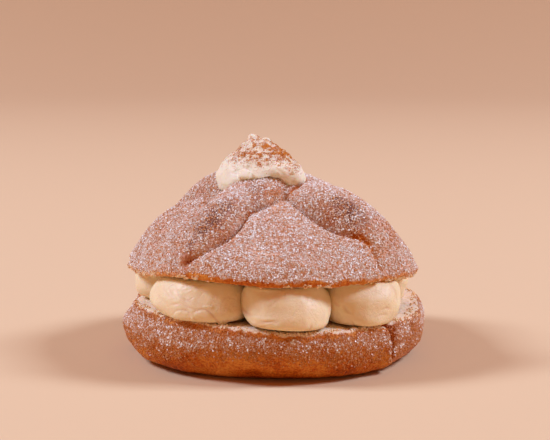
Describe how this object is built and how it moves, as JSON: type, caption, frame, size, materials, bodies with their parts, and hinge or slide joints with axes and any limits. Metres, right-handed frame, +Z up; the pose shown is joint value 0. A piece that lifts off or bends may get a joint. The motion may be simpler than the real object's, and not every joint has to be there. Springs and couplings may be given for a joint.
{
  "type": "pan de muerto",
  "caption": "Round sweet bread with crossed dough bones, cut through the middle, filled with a ring of piped cream and topped with a cream dollop.",
  "frame": {"origin": "middle of the underside, on the surface that the bread stands on", "axes": "+Z up through the cream dollop on the summit; -Y is the bread's front, where a bone runs down to the left; +X is to the right seen from the front"},
  "size_m": [0.1195, 0.1202, 0.0863],
  "materials": {
    "baked_crust": "matte baked crust under sugar",
    "piped_cream": "satin cream"
  },
  "bodies": {
    "root": {"lower_half": "baked_crust", "crown": "baked_crust", "cream_dollop_1": "piped_cream", "cream_dollop_2": "piped_cream", "cream_dollop_3": "piped_cream", "cream_dollop_4": "piped_cream", "cream_dollop_5": "piped_cream", "cream_dollop_6": "piped_cream", "cream_dollop_7": "piped_cream", "cream_dollop_8": "piped_cream", "cream_middle": "piped_cream", "cream_topper": "piped_cream"}
  },
  "joints": []
}
